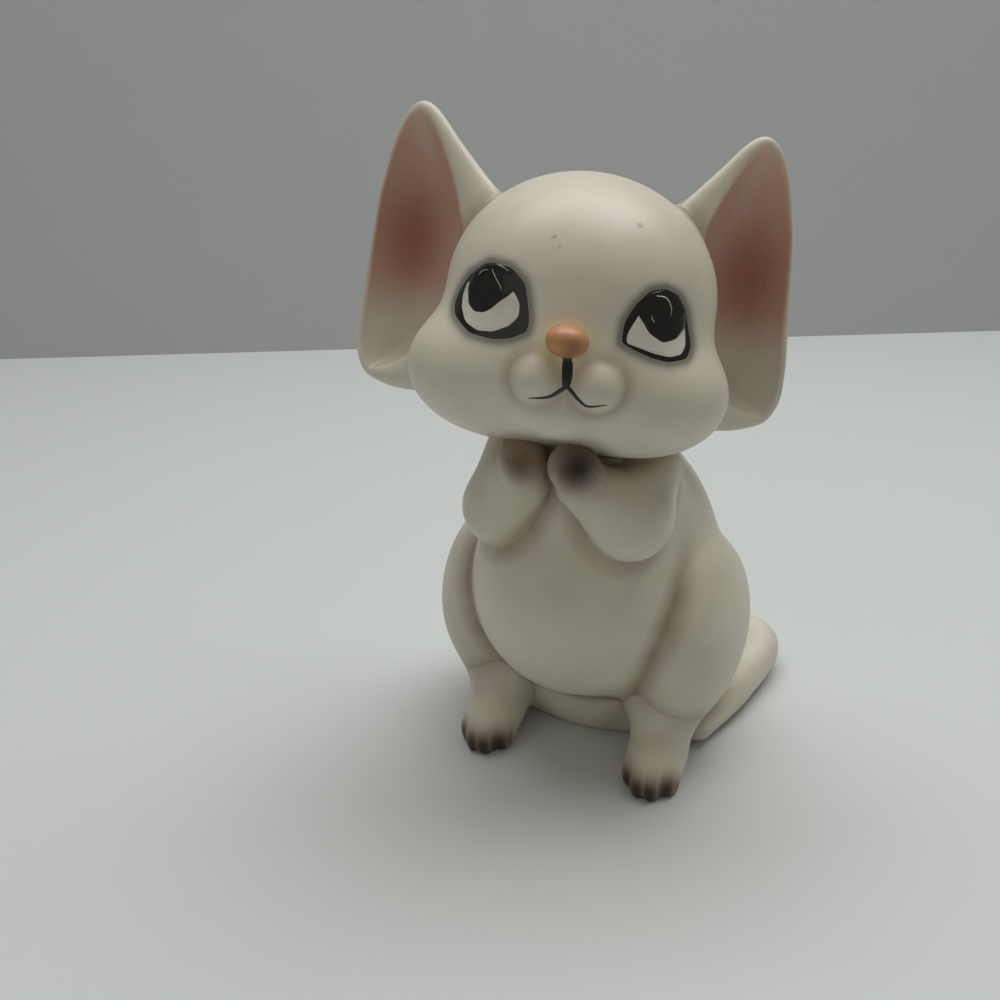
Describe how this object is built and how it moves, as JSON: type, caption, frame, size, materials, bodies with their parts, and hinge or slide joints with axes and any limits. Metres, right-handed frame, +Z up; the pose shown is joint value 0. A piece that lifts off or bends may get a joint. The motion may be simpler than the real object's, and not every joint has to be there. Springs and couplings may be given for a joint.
{
  "type": "animal figurine",
  "caption": "Small porcelain mouse figurine, sitting up with paws together under its chin, big cupped ears and a tail curled round its side.",
  "frame": {"origin": "on the table at the middle of the flat base under the body", "axes": "+Z up, the body faces -Y, +X to the right of a viewer who looks at its face"},
  "size_m": [0.0496, 0.0472, 0.0766],
  "materials": {
    "porcelain": "warm white porcelain with a soft satin glaze",
    "orange_enamel": "glossy orange-brown enamel",
    "white_enamel": "glossy white enamel",
    "black_enamel": "glossy black enamel"
  },
  "bodies": {
    "root": {"body_casting": "porcelain", "head_casting": "porcelain", "ear_right": "porcelain", "ear_left": "porcelain", "arm_right": "porcelain", "arm_left": "porcelain", "foot_right": "porcelain", "foot_left": "porcelain", "tail": "porcelain", "nose": "orange_enamel", "eye_right": "white_enamel", "eye_left": "white_enamel", "pupil_right": "black_enamel", "pupil_left": "black_enamel"}
  },
  "joints": []
}
